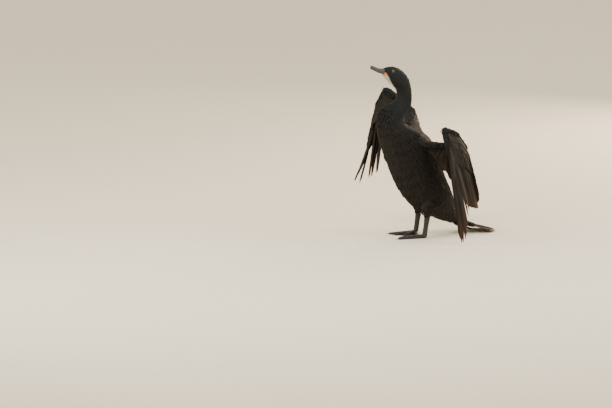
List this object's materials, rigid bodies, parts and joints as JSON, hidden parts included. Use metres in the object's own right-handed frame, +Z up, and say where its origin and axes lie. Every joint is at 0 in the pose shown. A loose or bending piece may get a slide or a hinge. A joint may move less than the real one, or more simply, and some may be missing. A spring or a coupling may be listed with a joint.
{
  "type": "cormorant",
  "caption": "Still, life-size cormorant standing on both webbed feet, neck raised and both wings half open to dry, tail laid on the floor.",
  "frame": {"origin": "middle of the footprint on the floor, under the whole bird", "axes": "+Z up, the bird faces -Y, its left side is +X"},
  "size_m": [0.561, 0.4938, 0.5842],
  "materials": {
    "plumage": "blackish body feathers, faint blue-green gloss",
    "flight_feathers": "bronze-brown flight feathers with darker edges",
    "bill_horn": "grey horn, dark along the ridge and hook",
    "eye": "wet dark green eye with a black pupil",
    "bare_skin": "dark scaled skin of shank, toes and web",
    "claw": "dark smooth horn"
  },
  "bodies": {
    "root": {"torso": "plumage", "neck_lower": "plumage", "neck_upper": "plumage", "head": "plumage", "thigh_left": "plumage", "thigh_right": "plumage", "tail": "flight_feathers", "wing_left": "flight_feathers", "wing_right": "flight_feathers", "bill_upper": "bill_horn", "bill_lower": "bill_horn", "eye_left": "eye", "eye_right": "eye", "shank_left": "bare_skin", "shank_right": "bare_skin", "foot_left": "bare_skin", "foot_right": "bare_skin", "claw_left_1": "claw", "claw_left_2": "claw", "claw_left_3": "claw", "claw_left_4": "claw", "claw_right_1": "claw", "claw_right_2": "claw", "claw_right_3": "claw", "claw_right_4": "claw"}
  },
  "joints": []
}
